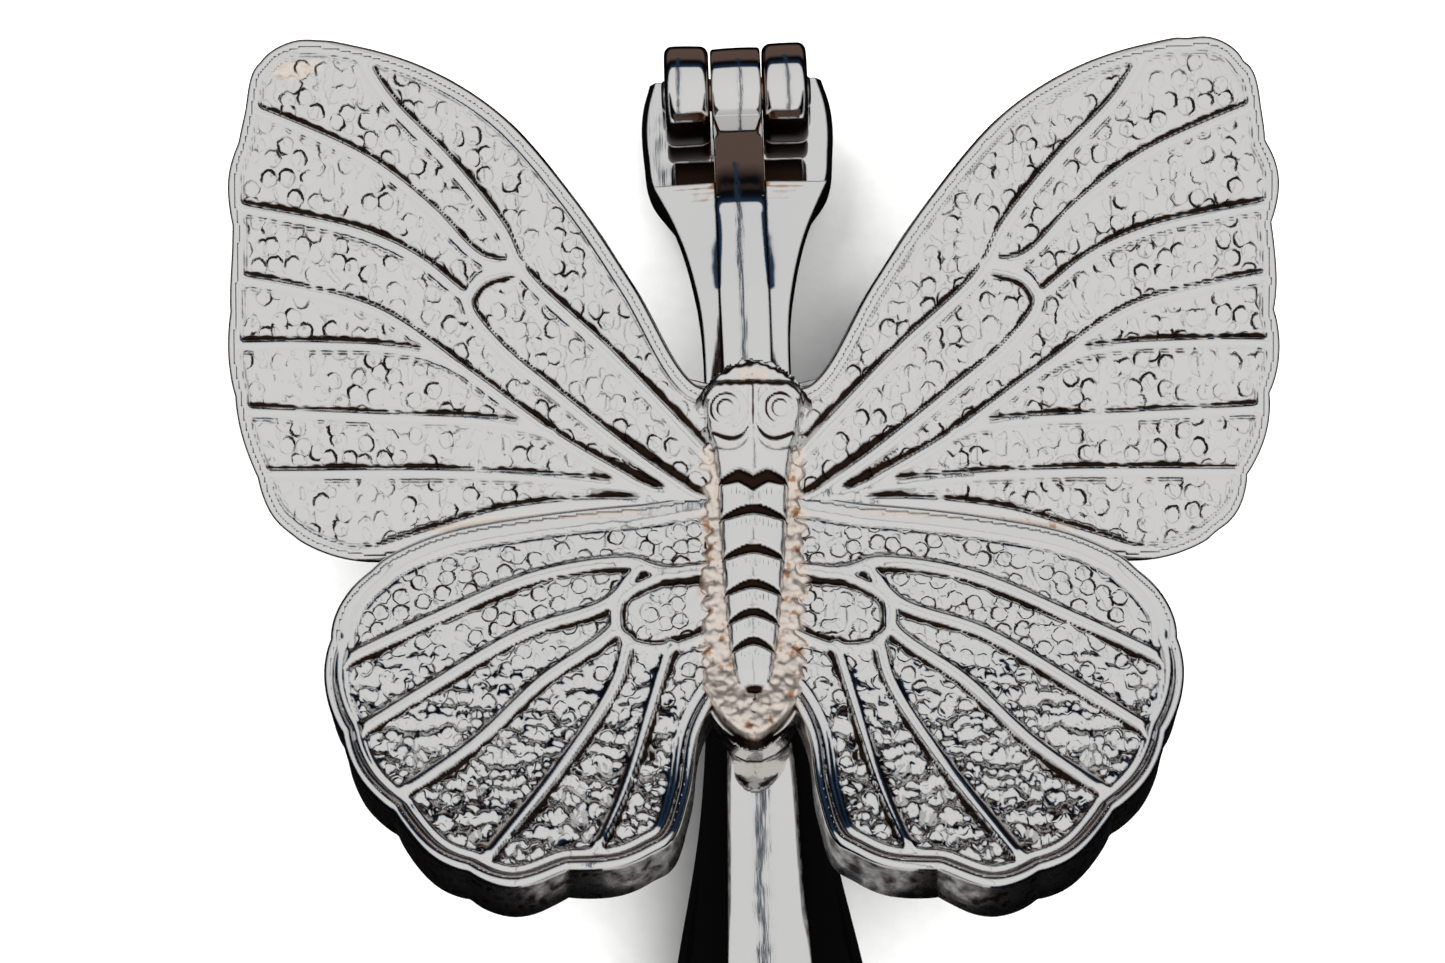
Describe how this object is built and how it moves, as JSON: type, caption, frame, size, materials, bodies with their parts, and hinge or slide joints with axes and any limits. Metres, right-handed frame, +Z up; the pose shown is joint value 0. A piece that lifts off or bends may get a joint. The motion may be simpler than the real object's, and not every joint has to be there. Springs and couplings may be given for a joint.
{
  "type": "nutcracker",
  "caption": "Lever nutcracker in polished cast metal, hinged at the head, with a large cast butterfly on the front lever.",
  "frame": {"origin": "centre of the bounding box's bottom face, on the surface the closed nutcracker lies on", "axes": "+Z up through the butterfly, +Y towards the hinge, -Y towards the handle ends, +X to the right of someone looking from the handles"},
  "size_m": [0.0888, 0.1716, 0.0375],
  "materials": {
    "plated_casting": "polished",
    "plated_ornament": "polished",
    "steel_fixings": "satin"
  },
  "bodies": {
    "rear_lever_body": {"rear_lever": "plated_casting", "hinge_pin": "steel_fixings"},
    "front_lever_body": {"front_lever": "plated_casting", "butterfly": "plated_ornament", "fixing_screw_upper": "steel_fixings", "fixing_screw_lower": "steel_fixings"}
  },
  "joints": [
    {"name": "hinge", "type": "hinge", "parent": "rear_lever_body", "child": "front_lever_body", "pos_m": [0, 0.0812, 0.009], "axis": [-1, 0, 0], "range_deg": [0, 90]}
  ]
}
